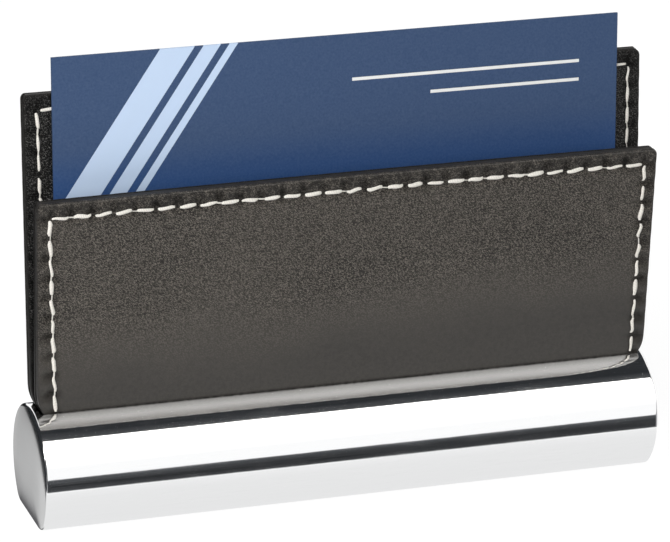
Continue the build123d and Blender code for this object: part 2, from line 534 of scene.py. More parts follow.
def board_material(settings):
    """Pressed board with a painted edge: short fibres along X under worn paint."""
    material, net, shader, place = new_material("pressed_board")
    fibres = net.noise(net.stretched(place, (0.25, 1.0, 1.0)), 2400.0, 4.0, 0.6)
    worn = net.remap(net.noise(place, 500.0, 3.0), 0.55, 0.75)
    paint = net.blend(fibres, tinted(settings.board_colour, 0.6), tinted(settings.board_colour, 1.6))
    tone = net.blend(net.times(worn, 0.35), paint, (0.055, 0.045, 0.036))
    net.fill(shader, Base_Color=tone, Roughness=net.remap(fibres, 0.2, 0.8, 0.45, 0.7),
             Normal=net.bump(fibres, 0.03 * MM))
    return material


def thread_material(settings):
    """Waxed thread: slanting plies that wind round each stitch, with dulled hollows between them, painted
    darker as shade.
    """
    material, net, shader, place = new_material("waxed_thread")
    along, round_thread, _ = net.split(net.coordinates("UV"))
    turn = net.line(along, settings.plies, round_thread)
    ply = net.remap(net.math("SINE", net.times(turn, 4 * math.pi)), -1.0, 0.6)
    fuzz = net.noise(place, 4200.0, 3.0, 0.6)
    # Painted shade: the hollows between the plies are darker than the plies
    tone = net.blend(ply, tinted(settings.colour, 0.80), tinted(settings.colour, 1.05))
    tone = net.blend(net.times(fuzz, 0.25), tone, tinted(settings.colour, 0.8))
    net.fill(shader, Base_Color=tone, Roughness=net.remap(ply, 0.0, 1.0, 0.75, 0.5), Specular_IOR_Level=0.35,
             Normal=net.bump(net.line(fuzz, 0.3, ply), 0.05 * MM))
    return material


def print_material(settings):
    """Printed face: blue ink that deepens downwards, slanted pale bands at the left, two white rules.

    The UV map runs in card widths and heights from the lower left corner.
    """
    material, net, shader, place = new_material("printed_card")
    across, up, _ = net.split(net.coordinates("UV"))
    ink = net.blend(net.remap(up, 0.60, 0.76, shape="SMOOTHSTEP"), settings.lower[:], settings.upper[:])
    slope = net.line(up, -0.42, across)
    edges = ((-0.235, -0.175), (-0.160, -0.130), (-0.115, -0.100))
    ink = net.blend(net.most(*(net.stripe(slope, *pair) for pair in edges)), ink, settings.pale[:])
    rules = (((0.868, 0.877), (0.52, 0.93)), ((0.815, 0.824), (0.66, 0.93)))
    ruled = net.most(*(net.times(net.stripe(up, *high), net.stripe(across, *wide)) for high, wide in rules))
    ink = net.blend(ruled, ink, settings.stock[:])
    fibre = net.noise(place, 3000.0, 4.0, 0.6)
    ink = net.blend(net.times(fibre, 0.10), ink, settings.pale[:])
    smudges = net.group(handling_group(), Vector=place)["Smudges"]
    net.fill(shader, Base_Color=ink, Roughness=net.remap(smudges, 0.0, 1.0, 0.55, 0.42),
             Specular_IOR_Level=0.15, Normal=net.bump(fibre, 0.01 * MM))
    return material


def stock_material(settings):
    """Bare paper of the card's back."""
    material, net, shader, place = new_material("card_stock")
    fibre = net.noise(place, 2600.0, 5.0, 0.65)
    tone = net.blend(fibre, tinted(settings.stock, 0.9), tinted(settings.stock, 1.05))
    net.fill(shader, Base_Color=tone, Roughness=net.remap(fibre, 0.3, 0.7, 0.75, 0.9),
             Normal=net.bump(fibre, 0.015 * MM))
    return material


def rubber_material():
    """Black rubber with a fine matt tooth and a little dust."""
    material, net, shader, place = new_material("foot_rubber")
    tooth = net.noise(place, 2200.0, 4.0, 0.7)
    dust = net.remap(net.noise(place, 260.0, 5.0, 0.65), 0.5, 0.8)
    tone = net.blend(dust, (0.022, 0.022, 0.023), (0.065, 0.063, 0.060))
    net.fill(shader, Base_Color=tone, Roughness=net.remap(tooth, 0.2, 0.8, 0.7, 0.95),
             Normal=net.bump(tooth, 0.05 * MM))
    return material


def rest_material():
    """Black moulded strip, satin, with wiping marks."""
    material, net, shader, place = new_material("rest_strip")
    marks = net.group(handling_group(), Vector=place)
    tone = net.blend(marks["Smudges"], (0.014, 0.014, 0.015), (0.026, 0.026, 0.027))
    net.fill(shader, Base_Color=tone, Roughness=net.remap(marks["Streaks"], 0.2, 0.8, 0.45, 0.62),
             Normal=net.bump(marks["Streaks"], 0.01 * MM))
    return material


# Shapes


def slot_floor(x):
    """Height of the slot's floor: level, then climbing on an arc of the panels' rounded foot."""
    radius = FOOT_ROUND + FIT_CLEAR
    start = PANEL_HALF + FIT_CLEAR - radius
    run = np.clip(np.abs(x) - start, 0, radius)
    return FOOT_Z + radius - np.sqrt(radius**2 - run**2)


def bar_surface(settings):
    """Bar as a closed section carried along X.

    The section runs from the rear lip of the slot round the circle, over a small corner arc, along the
    flat with its pad recess, up the front in mirror image and back through the slot. Near an end it is
    inset along a quarter circle, and then shrinks to the middle of the end face, which polishing has domed
    by d s^4.5 at the share s of full size. Where the slot's floor rises past the circle, the floor follows
    the circle and the slot is gone. The end mark is 1 on the end faces.
    """
    corner, end, dome = settings.corner_round, settings.end_round, settings.end_dome
    recess_x = PAD_HIGH.x + FIT_CLEAR
    recess_y = PAD_HIGH.y + FIT_CLEAR
    recess_depth = PAD_HIGH.z - FLAT_Z

    # Rows from the middle to one end: place, inset, share of full size and whether the recess is there
    slot_radius = FOOT_ROUND + FIT_CLEAR
    run_out = math.acos(1 - (BAR_HIGH.z - FOOT_Z) / slot_radius)
    arc = PANEL_HALF + FIT_CLEAR - slot_radius * (1 - np.sin(np.linspace(0, run_out, 80)))
    body = np.concatenate([np.linspace(0, arc[0], 10)[:-1], arc])
    inner = np.concatenate([body[body < recess_x], [recess_x]])
    rim = BAR_HALF - dome / 2 - end
    beyond = body[(body > recess_x) & (body < rim - 0.2 * MM)]
    outer = np.concatenate([[recess_x], beyond, [rim - 0.1 * MM]])
    straight = inner.size + outer.size
    turn = np.radians(np.linspace(0, 86, 11))
    shrink = np.array([0.985, 0.96, 0.93, 0.89, 0.84, 0.78, 0.7, 0.6, 0.45, 0.25, 0.0])
    face_x = rim + end + dome * (1 - shrink**4.5)
    x = np.concatenate([inner, outer, rim + end * np.sin(turn), face_x])
    inset = np.concatenate([np.zeros(straight), end * (1 - np.cos(turn)), np.full(shrink.size, end)])
    size = np.concatenate([np.ones(straight + turn.size), shrink])
    recess = np.concatenate([np.full(inner.size, recess_depth), np.zeros(x.size - inner.size)])
    x = np.concatenate([-x[:0:-1], x])[:, None]
    inset, size, recess = (np.concatenate([a[:0:-1], a])[:, None] for a in (inset, size, recess))

    # Half section, from the rear lip down to the middle of the flat
    corner_z = FLAT_Z + corner
    corner_y = math.sqrt((BAR_RADIUS - corner) ** 2 - (AXIS_Z - corner_z) ** 2)
    corner_angle = math.atan2(corner_z - AXIS_Z, corner_y)
    radius = BAR_RADIUS - inset
    lip_angle = np.arccos(SLOT_HALF / radius)
    share = np.linspace(0, 1, 165)
    angle = lip_angle + (corner_angle - lip_angle) * share
    bend = np.linspace(corner_angle, -math.pi / 2, 9)[1:]
    recess_round = PAD_CORNER + FIT_CLEAR
    past = np.clip(np.abs(x) - (recess_x - recess_round), 0, recess_round)
    recess_half = recess_y - recess_round + np.sqrt(recess_round**2 - past**2)
    level = recess_half * np.array([1.0, 1.0, 1 / 3])
    half_y = np.hstack([radius * np.cos(angle), corner_y + (corner - inset) * np.cos(bend), level])
    flat_z = np.hstack([FLAT_Z + inset, FLAT_Z + inset + recess, FLAT_Z + inset + recess])
    half_z = np.hstack([AXIS_Z + radius * np.sin(angle), corner_z + (corner - inset) * np.sin(bend), flat_z])

    # Slot, from the front lip down, across and up
    lip_z = AXIS_Z + np.sqrt(radius**2 - SLOT_HALF**2)
    floor_y = SLOT_HALF * np.linspace(-1, 1, 21)
    floor_z = np.minimum(slot_floor(x), AXIS_Z + np.sqrt(radius**2 - floor_y**2))
    wall = np.linspace(0, 1, 5)[1:-1]
    wall_z = lip_z + (floor_z[:, :1] - lip_z) * wall
    wall_y = np.full_like(wall_z, SLOT_HALF)
    y = np.hstack([half_y, -half_y[:, ::-1], -wall_y, np.ones_like(x) * floor_y, wall_y])
    z = np.hstack([half_z, half_z[:, ::-1], wall_z, floor_z, wall_z[:, ::-1]])

    y = y * size
    z = AXIS_Z + (z - AXIS_Z) * size
    points = np.stack([np.broadcast_to(x, y.shape), y, z], axis=-1)
    faces = grid_faces(points.shape[0], points.shape[1], closed=True)
    end_mark = np.broadcast_to(np.abs(x) > rim + 0.9 * end, y.shape)
    points = points.reshape(-1, 3)
    return points, facing_out(points, faces), {"end": end_mark}


def pad_surface(edge_round):
    """Pad as two grids: a rectangle with rounded corners, its lower rim turned by a small arc."""
    turn = np.radians(np.linspace(0, 90, 8))
    end = PAD_HIGH.x - PAD_CORNER + PAD_CORNER * np.sin(turn)
    x = np.concatenate([-end[::-1], np.linspace(-end[0], end[0], 40)[1:-1], end])
    past = np.clip(np.abs(x) - end[0], 0, PAD_CORNER)
    half = PAD_HIGH.y - PAD_CORNER + np.sqrt(PAD_CORNER**2 - past**2)
    rim = np.radians(np.linspace(90, 0, 5))
    inner_row = 1.5 * MM
    inset = np.concatenate([edge_round * (1 - np.sin(rim)), [inner_row]])
    lift = np.concatenate([edge_round * (1 - np.cos(rim)), [0.0]])
    y = np.hstack([-(half[:, None] - inset), (half[:, None] - inset)[:, ::-1]])
    rise = np.broadcast_to(np.concatenate([lift, lift[::-1]]), y.shape)
    away = np.clip(PAD_HIGH.x - np.abs(x), 0, edge_round)
    end_lift = edge_round - np.sqrt(edge_round**2 - (edge_round - away) ** 2)
    low = np.maximum(rise, end_lift[:, None])
    across = np.broadcast_to(x[:, None], y.shape)
    lower = np.stack([across, y, PAD_LOW.z + low], axis=-1)
    upper = np.stack([across, y, np.full_like(y, PAD_HIGH.z)], axis=-1)
    return two_skins(lower, upper)


def wall_length(place):
    """Length of a panel's leaning wall, from the bend to its pocket edge."""
    return (PANEL_TOP[place] - BEND_Z) / LEAN_COS


def on_panel(place, x, depth, rise):
    """Points of a panel from x, depth behind the pocket face and rise above the bend.

    Above the bend the wall leans outwards; below it the tongue is upright. The whole panel is sheared a
    little along X, lifted to the right, bowed up in the middle and slightly spread, as it was set.
    """
    side = PANEL_SIDE[place]
    share = rise / wall_length(place)
    shear = SHEAR_FOOT[place] + (SHEAR_TOP[place] - SHEAR_FOOT[place]) * share
    part = x / PANEL_HALF
    lift = RAISE_TOP[place] + TILT_UP[place] * part + BOW_TOP[place] * (1 - part**2)
    lifted = rise + lift * np.clip(share, 0, 1)
    leaning = rise >= 0
    y = POCKET_HALF + np.where(leaning, depth * LEAN_COS + lifted * LEAN_SIN, depth)
    z = BEND_Z + np.where(leaning, lifted * LEAN_COS - depth * LEAN_SIN, rise - depth * MITRE)
    spread = 1 + SPREAD_FOOT[place] + (SPREAD_TOP[place] - SPREAD_FOOT[place]) * np.clip(share, 0, 1)
    return np.stack([x * spread + shear, side * y, z], axis=-1)


def half_width(place, z):
    """Half the panel's width at a height: a wide arc at the foot, a small one at the top corner."""
    low = np.clip(FOOT_ROUND - (z - FOOT_Z), 0, FOOT_ROUND)
    high = np.clip(z - (PANEL_TOP[place] - TOP_CORNER), 0, TOP_CORNER)
    foot = FOOT_ROUND - np.sqrt(FOOT_ROUND**2 - low**2)
    top = TOP_CORNER - np.sqrt(TOP_CORNER**2 - high**2)
    return PANEL_HALF - foot - top


def seam_rows(place, thread):
    """Seam lines of a panel: (start, end, stitch count, way to the edge), in x and rise."""
    high = wall_length(place) - thread.top_inset
    reach = PANEL_HALF - thread.side_inset
    (left_foot, left_top), (right_foot, right_top) = SEAM_DRIFT[place]
    corners = (left_top - reach, high), (right_top + reach, high)
    lines = [(*corners, (0, 1)),
             ((left_foot - reach, thread.foot), corners[0], (-1, 0)),
             ((right_foot + reach, thread.foot), corners[1], (1, 0))]
    rows = []
    for start, end, outwards in lines:
        run = math.dist(start, end)
        rows.append((np.array(start), np.array(end), max(1, round(run / thread.pitch)), np.array(outwards)))
    return rows


def seam_relief(place, x, rise, leather, thread):
    """Height of the leather near its seams, a mask of the needle holes that gets painted shade, and one of
    painted shade on the margin.

    Along each line there is a groove exp(-(t/w)^2) across the line, an uneven dent at each hole, mostly
    outside it, and a swell of the margin half way between two holes. The mask of the holes also covers the
    bend, as a painted shadow where the panel goes into the bar. The margin is what lies beyond a line, t > 0.
    """
    groove_width, dent_width, bend_width = 0.50 * MM, 0.82 * MM, 0.22 * MM
    margin, margin_width, margin_fade = 1.2 * MM, 0.8 * MM, 0.6 * MM
    run_out, inner_dent = 0.5 * MM, 0.40 * MM
    rng = np.random.default_rng(thread.seed)
    relief = np.zeros(np.broadcast(x, rise).shape)
    outside = np.zeros_like(relief)
    # Painted shadow along the bend, where the panel goes into the bar
    dent_shade = np.exp(-((rise / bend_width) ** 2)) * np.ones_like(relief)
    for (start, end, count, outwards), tone in zip(seam_rows(place, thread), MARGIN_SHADE):
        run = np.hypot(*(end - start))
        along = (end - start) / run
        outwards = outwards - along * (outwards @ along)
        pitch = run / count
        s = (x - start[0]) * along[0] + (rise - start[1]) * along[1]
        t = (x - start[0]) * outwards[0] + (rise - start[1]) * outwards[1]
        beyond = np.clip(-s, 0, None) + np.clip(s - run, 0, None)
        inside = np.exp(-((beyond / run_out) ** 2))
        hole = np.clip(np.round(s / pitch), 0, count).astype(int)
        off_hole = s - hole * pitch
        pull = rng.uniform(0.65, 1.0, count + 1)[hole]
        reach = rng.uniform(0.55, 0.95, count + 1)[hole] * MM
        outer = np.exp(-(off_hole**2 + 0.6 * (t - reach) ** 2) / dent_width**2)
        inner = 0.35 * np.exp(-(off_hole**2 + (t + inner_dent) ** 2) / (0.6 * dent_width) ** 2)
        dent = pull * (outer + inner) * inside
        swell = 0.5 - 0.5 * np.cos(2 * math.pi * s / pitch)
        band = np.exp(-(((t - margin) / margin_width) ** 2)) * inside
        relief += leather.pucker * swell * band
        relief -= leather.groove * np.exp(-((t / groove_width) ** 2)) * inside + leather.dent * dent
        dent_shade = np.maximum(dent_shade, dent)
        # Painted shade on the margin beyond the row, as strong as the row's share
        outside = np.maximum(outside, tone * np.clip(t / margin_fade + 0.2, 0, 1))
    return relief, dent_shade, outside


def panel_layer(place, inner, outer, shown_side, leather, edge, thread=None, inset=0.0, step=0.45 * MM):
    """One layer of a panel as a shown and a hidden grid, with marks for its edges and for painted shade at
    its needle holes, bend and margin.

    shown_side is 1 for a layer that shows its outer face and -1 for one that shows its pocket face.
    Rows climb the tongue and the wall; columns keep their distance from the side edges. The rim of the
    shown face is turned over by a quarter circle with the edge radius, half of it at the sides. With a
    thread, the face has the relief of its seams. The outer leather is painted dark on its side edges only.
    """
    length = wall_length(place) - inset
    turn = np.radians(np.linspace(0, 90, 7))
    near, fine, below_bend = 6 * MM, 1.6 * MM, 0.02 * MM  # strips with finer steps, and the tongue's top
    climb = np.sin(np.radians(np.linspace(0, 88, 12)))
    tongue = (FOOT_Z - BEND_Z) * (1 - climb) - below_bend
    flat_end = length - edge
    coarse_rows, fine_rows = max(4, round(flat_end / step)), max(3, round(fine / (0.25 * step)))
    wall = np.concatenate([np.linspace(0, flat_end - fine, coarse_rows)[:-1],
                           np.linspace(flat_end - fine, flat_end, fine_rows)[:-1]])
    rise = np.concatenate([tongue, wall, flat_end + edge * np.sin(turn)])[:, None]
    row_drop = np.concatenate([np.zeros(tongue.size + wall.size), edge * (1 - np.cos(turn))])[:, None]
    side = 0.5 * edge
    rim = np.concatenate([side * (1 - np.sin(turn[::-1])),
                          np.linspace(side, near, max(3, round(near / (0.6 * step))))[1:]])
    rim_drop = np.concatenate([side * (1 - np.cos(turn[::-1])), np.zeros(rim.size - turn.size)])
    middle = np.linspace(-1, 1, max(4, round(2 * (PANEL_HALF - near) / step)))[1:-1]
    column_drop = np.concatenate([rim_drop, np.zeros(middle.size), rim_drop[::-1]])
    shown_depth, hidden_depth = (outer, inner) if shown_side > 0 else (inner, outer)
    leaning = rise * LEAN_COS - shown_depth * LEAN_SIN
    height = BEND_Z + np.where(rise >= 0, leaning, rise - shown_depth * MITRE)
    half = half_width(place, height) - inset
    x = np.hstack([rim - half, middle * (half - near), (half - rim)[:, ::-1]])
    drop = np.minimum(np.hypot(row_drop, column_drop), edge)
    relief, dent_shade, outside = (np.zeros(x.shape) for _ in range(3))
    if thread is not None:
        relief, dent_shade, outside = seam_relief(place, x, np.broadcast_to(rise, x.shape), leather, thread)
        relief = np.where(rise > 0, relief, 0)
    depth = shown_depth + shown_side * (relief - drop)
    rise = np.broadcast_to(rise, x.shape)
    shown = on_panel(place, x, depth, rise)
    hidden = on_panel(place, x, np.full_like(x, hidden_depth), rise)
    points, faces = two_skins(shown, hidden)
    from_edge = half - np.abs(x) if shown_side > 0 else np.minimum(half - np.abs(x), length - rise)
    worn = np.exp(-np.clip(from_edge - 0.15 * edge, 0, None) / (0.12 * MM))
    marks = {"edge": np.concatenate([worn.ravel(), np.ones(x.size)]),
             "seam": np.concatenate([dent_shade.ravel(), np.zeros(x.size)]),
             "margin": np.concatenate([outside.ravel(), np.ones(x.size)])}
    return points, faces, marks


def thread_tubes(place, line, face, middle, length, width, slant, waver):
    """Lengths of thread that lie along a seam line, each from hole to hole, as (count, rings, sides) points.

    A flattened round section is carried along the line. With q going from 0 to 1 and p = sin(pi q)^0.35,
    it stands off the leather by p, is slimmer at its ends, climbs across the line by its slant and
    wavers by sin(2 pi q). line is (start, along, away) and face is (depth, way out, height off it).
    """
    start, along, away = line
    depth, outwards, proud = face
    q = np.array([0, 0.02, 0.08, 0.22, 0.5, 0.78, 0.92, 0.98, 1])[:, None]
    turn = np.linspace(0, 2 * math.pi, 8)
    p = np.clip(np.sin(math.pi * q), 0, 1) ** 0.35
    body = (0.30 + 0.70 * p) * (q * (1 - q) > 0)
    sunk, flat = 0.12 * MM, 0.62  # depth of the ends in the leather, height of the section to its width
    s = middle + length * (q - 0.5) + 0 * turn
    t = slant * (q - 0.5) + waver * np.sin(2 * math.pi * q) + width * body * np.cos(turn)
    h = (proud + sunk - flat * width) * p - sunk + flat * width * body * np.sin(turn)
    x = start[0] + along[0] * s + away[0] * t
    rise = start[1] + along[1] * s + away[1] * t
    uv = np.stack(np.broadcast_arrays(q, turn / (2 * math.pi)), axis=-1)
    uv = np.broadcast_to(uv, (*x.shape, 2))
    return on_panel(place, x, depth + outwards * h, rise), uv


def stitch_surface(place, thread, rng):
    """All stitches of one panel, on its outer leather and on its lining, with the thin links between them.

    A link is the bit of thread that crosses a needle hole where two stitches lie close. Each row of the
    seam (top, left, right) has its own share of links.
    """
    # How uneven hand stitching is, in place, length, width, lumps, slant and waver, and the size of a link
    shift, stretch, swell, lump, tilt, sway = 0.08 * MM, 0.15 * MM, 0.10, 0.10, 0.6, 0.09 * MM
    link_length, link_width, link_height, link_slant = 1.1 * MM, 0.18, 0.35, -0.7
    tubes = []
    for face in ((PANEL, 1, thread.proud), (0, -1, thread.proud_inside)):
        for (start, end, count, away), share in zip(seam_rows(place, thread), LINK_SHARE[place]):
            run = np.hypot(*(end - start))
            line = (start, (end - start) / run, away)
            pitch = run / count
            uneven = rng.normal(0, 1, (5, count, 1, 1)).clip(-1.8, 1.8)
            middle = (np.arange(count)[:, None, None] + 0.5) * pitch + shift * uneven[0]
            length = pitch - thread.gap + stretch * uneven[1]
            lumps = rng.normal(0, 1, (count, 9, 1)).clip(-1.5, 1.5)
            half_thread = (0.5 if face[1] > 0 else 0.42) * thread.width
            width = half_thread * (1 + swell * uneven[2] + lump * lumps)
            slant = thread.slant * (1 + tilt * uneven[3])
            waver = sway * uneven[4]
            tubes.append(thread_tubes(place, line, face, middle, length, width, slant, waver))
            hole = np.flatnonzero(rng.random(count - 1) < share)[:, None, None] + 1
            thin = link_width * thread.width * (1 + 0.25 * rng.normal(0, 1, hole.shape).clip(-1.5, 1.5))
            low = (*face[:2], link_height * face[2])
            tubes.append(thread_tubes(place, line, low, hole * pitch, link_length, thin,
                                      link_slant * thread.slant, 0.0))
    points, uv = (np.concatenate(arrays) for arrays in zip(*tubes))
    count, rings, sides = points.shape[:3]
    first = np.arange(count)[:, None, None] * rings * sides
    faces = (grid_faces(rings, sides) + first).reshape(-1, 4)
    return points.reshape(-1, 3), faces, uv.reshape(-1, 2)


def card_surface():
    """Card as two flat grids that lean back with the rear panel, and the UV of each point.

    It was trimmed a little out of square at the top, by the skew times x. Its height and thickness come
    from the box of the leaning card: with lean a, the box is h cos a + t sin a high and h sin a + t cos a
    deep.
    """
    skew = 0.0044
    deep = CARD_HIGH.y - CARD_LOW.y
    high = CARD_HIGH.z - CARD_LOW.z
    height = (high * LEAN_COS - deep * LEAN_SIN) / math.cos(2 * LEAN)
    thickness = (deep * LEAN_COS - high * LEAN_SIN) / math.cos(2 * LEAN)
    u, v = np.meshgrid(np.linspace(0, 1, 41), np.linspace(0, 1, 27))
    x = CARD_LOW.x + (CARD_HIGH.x - CARD_LOW.x) * u
    y = CARD_HIGH.y - height * LEAN_SIN + height * v * LEAN_SIN
    z = CARD_LOW.z + height * v * LEAN_COS + skew * x * v
    back = np.stack([x, y, z], axis=-1)
    front = back + np.array([0, -LEAN_COS, LEAN_SIN]) * thickness
    points, faces = two_skins(front, back)
    uv = np.stack([u, v], axis=-1).reshape(-1, 2)
    return points, faces, np.concatenate([uv, uv]), u.size


# Operators


class CARDSTAND_OT_bar(bpy.types.Operator):
    """Build the plated bar"""

    bl_idname = "card_stand.bar"
    bl_label = "Plated Bar"

    def execute(self, context):
        settings = context.scene.card_stand.bar
        points, faces, marks = bar_surface(settings)
        add_piece("plated_bar", points, faces, [chrome_material(settings)], "stand", ["base_bar"],
                  marks=marks, sharp=32)
        return {"FINISHED"}


class CARDSTAND_OT_foot(bpy.types.Operator):
    """Build the rubber pad under the bar and finish the strip that the card stands on"""

    bl_idname = "card_stand.foot"
    bl_label = "Pad and Rest"

    def execute(self, context):
        points, faces = pad_surface(edge_round=0.25 * MM)
        pad = add_piece("rubber_pad", points, faces, [rubber_material()], "stand", ["foot_pad"])
        rest = frame["nodes"]["card_rest"]
        rest.data.materials.clear()
        rest.data.materials.append(rest_material())
        return {"FINISHED"}


class CARDSTAND_OT_panels(bpy.types.Operator):
    """Build the leathers and the board of both panels"""

    bl_idname = "card_stand.panels"
    bl_label = "Leather Panels"

    def execute(self, context):
        stand = context.scene.card_stand
        leather, thread = stand.leather, stand.thread
        outside = leather_material("outer_leather", leather.outer_colour, leather,
                                   roughness=0.45, finish=0.45, tones=(0.05, 2.0))
        # The lining is the leather made much darker, partly as painted shade, and its grain's ridges at 16
        # times that colour are painted highlights, flecks of sheen
        inside = leather_material("lining_leather", leather.lining_shaded_colour, leather,
                                  roughness=0.5, finish=0.05, tones=(0.1, 16.0), hollow=0.5)
        board = board_material(leather)
        board_in, board_out = LEATHER, LEATHER + BOARD
        for place in PANEL_SIDE:
            points, faces, _ = panel_layer(place, board_in, board_out, 1, leather, edge=0.1 * MM,
                                           inset=0.07 * MM, step=3 * MM)
            core = add_piece(place + "_core", points, faces, [board], "stand", [place + "_board"],
                             sharp=60)
            for name, inner, outer, shown, material, slot in (
                    ("_outer_leather", board_out, PANEL, 1, outside, "outer_leather"),
                    ("_lining", 0.0, board_in, -1, inside, "lining_leather")):
                points, faces, marks = panel_layer(place, inner, outer, shown, leather,
                                                   leather.edge_round, thread)
                sheet = add_piece(place + name + "_skin", points, faces, [material], "stand",
                                  [place + name], marks=marks, sharp=60)
        return {"FINISHED"}


class CARDSTAND_OT_stitching(bpy.types.Operator):
    """Lay the stitches of both panels"""

    bl_idname = "card_stand.stitching"
    bl_label = "Stitching"

    def execute(self, context):
        thread = context.scene.card_stand.thread
        material = thread_material(thread)
        rng = np.random.default_rng(thread.seed)
        for place in PANEL_SIDE:
            points, faces, uv = stitch_surface(place, thread, rng)
            faces = facing_out(points, faces)
            add_piece(place + "_thread", points, faces, [material], "stand", [place + "_stitching"],
                      uv=uv, sharp=80)
        return {"FINISHED"}


class CARDSTAND_OT_card(bpy.types.Operator):
    """Build the printed card"""

    bl_idname = "card_stand.card"
    bl_label = "Card"

    def execute(self, context):
        settings = context.scene.card_stand.card
        points, faces, uv, front_count = card_surface()
        card = add_piece("printed_sheet", points, faces, [print_material(settings), stock_material(settings)],
                         "card", ["card"], uv=uv)
        corner = np.empty(len(card.data.loops), np.int32)
        card.data.loops.foreach_get("vertex_index", corner)
        bare = (corner.reshape(-1, 4) >= front_count).all(axis=1)
        card.data.polygons.foreach_set("material_index", bare.astype(np.int32))
        return {"FINISHED"}


class CARDSTAND_OT_stage(bpy.types.Operator):
    """Set the floor, the lamps, the world and the camera"""

    bl_idname = "card_stand.stage"
    bl_label = "Stage"

    def execute(self, context):
        settings = context.scene.card_stand.stage
        floor_plane(settings)
        studio_world(settings)
        area_lamp("key_softbox", (-0.40, -0.40, 0.56), (0, 0, 0.03), 0.8, 0.3, settings.key_power)
        area_lamp("front_fill", (-0.26, -0.30, 0.20), (0, 0, 0.04), 0.25, 0.25, settings.fill_power)
        area_lamp("rear_fill", (0.25, 0.50, 0.45), (0, 0, 0.04), 0.5, 0.5, settings.rear_power)
        photo_camera(settings)
        context.scene.view_settings.view_transform = "Standard"
        return {"FINISHED"}


def floor_plane(settings):
    """Pale floor, a hair below the pad, that the camera sees near white with the stand's soft shadow."""
    half, low = 6.0, -0.05 * MM
    points = [(-half, -half, low), (half, -half, low), (half, half, low), (-half, half, low)]
    mesh = bpy.data.meshes.new("floor")
    mesh.from_pydata(points, [], [(0, 1, 2, 3)])
    material, net, shader, _ = new_material("floor_white")
    net.fill(shader, Base_Color=(*settings.floor_colour, 1), Roughness=0.9, Specular_IOR_Level=0.0)
    glow = net.add("ShaderNodeEmission", Color=WHITE, Strength=1.12).outputs[0]
    share = net.times(net.add("ShaderNodeLightPath").outputs["Is Camera Ray"], 0.80)
    out = material.node_tree.nodes["Material Output"]
    net.fill(out, Surface=net.mix(share, shader.outputs[0], glow))
    mesh.materials.append(material)
    floor = bpy.data.objects.new("floor", mesh)
    floor.visible_glossy = False
    bpy.context.scene.collection.objects.link(floor)


